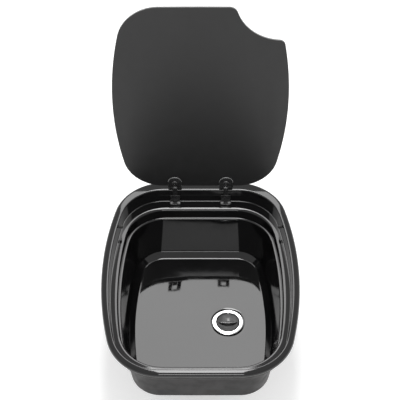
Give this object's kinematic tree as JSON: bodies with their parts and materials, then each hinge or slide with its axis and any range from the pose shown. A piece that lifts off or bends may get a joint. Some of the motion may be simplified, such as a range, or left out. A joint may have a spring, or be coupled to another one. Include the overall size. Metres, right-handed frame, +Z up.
{
  "type": "sink with hinged lid",
  "caption": "Deep drop-in sink bowl with a stepped recess, a waste and plug at one side, and a tinted glass lid on rear hinges that folds down flush with the rim.",
  "frame": {"origin": "on the sink's centre line, in the plane of the worktop that the rim rests on, 6 mm in front of the rim's middle", "axes": "+X to the right, the waste's side; +Y to the back, the hinges' side; +Z up"},
  "size_m": [0.3648, 0.4718, 0.6527],
  "materials": {
    "black_gloss": "high-gloss moulded acrylic-capped ABS, black",
    "smoked_glass": "dark smoked toughened glass, polished edge",
    "chrome": "polished",
    "steel": "satin",
    "black_satin": "satin moulded nylon, black",
    "tail_plastic": "moulded, dark grey",
    "rubber": "matt"
  },
  "bodies": {
    "sink": {"drain_flange": "chrome", "drain_locknut": "tail_plastic", "drain_seal": "rubber", "drain_strainer": "steel", "drain_washer": "rubber", "hinge_base_left": "black_satin", "hinge_base_right": "black_satin", "hinge_screw_left_1": "black_satin", "hinge_screw_left_2": "black_satin", "hinge_screw_right_1": "black_satin", "hinge_screw_right_2": "black_satin", "hose_tail": "tail_plastic", "lid_rest_left": "rubber", "lid_rest_right": "rubber", "rim_gasket": "rubber", "sink_bowl": "black_gloss", "tail_nut": "tail_plastic", "tail_washer": "rubber"},
    "lid": {"clamp_cap_left": "black_satin", "clamp_cap_right": "black_satin", "clamp_screw_left": "black_satin", "clamp_screw_right": "black_satin", "glass_pad_inner_left": "rubber", "glass_pad_inner_right": "rubber", "glass_pad_outer_left": "rubber", "glass_pad_outer_right": "rubber", "hinge_leaf_left": "black_satin", "hinge_leaf_right": "black_satin", "hinge_pin_left": "steel", "hinge_pin_right": "steel", "lid_glass": "smoked_glass"},
    "plug": {"drain_plug": "black_satin", "plug_seal": "rubber"}
  },
  "joints": [
    {"name": "lid_hinge", "type": "hinge", "parent": "sink", "child": "lid", "pos_m": [0, 0.216, 0.0136], "axis": [1, 0, 0], "range_deg": [0, 95]},
    {"name": "plug_lift", "type": "slide", "parent": "sink", "child": "plug", "axis": [0, 0, 1], "range_m": [0, 0.06]}
  ]
}
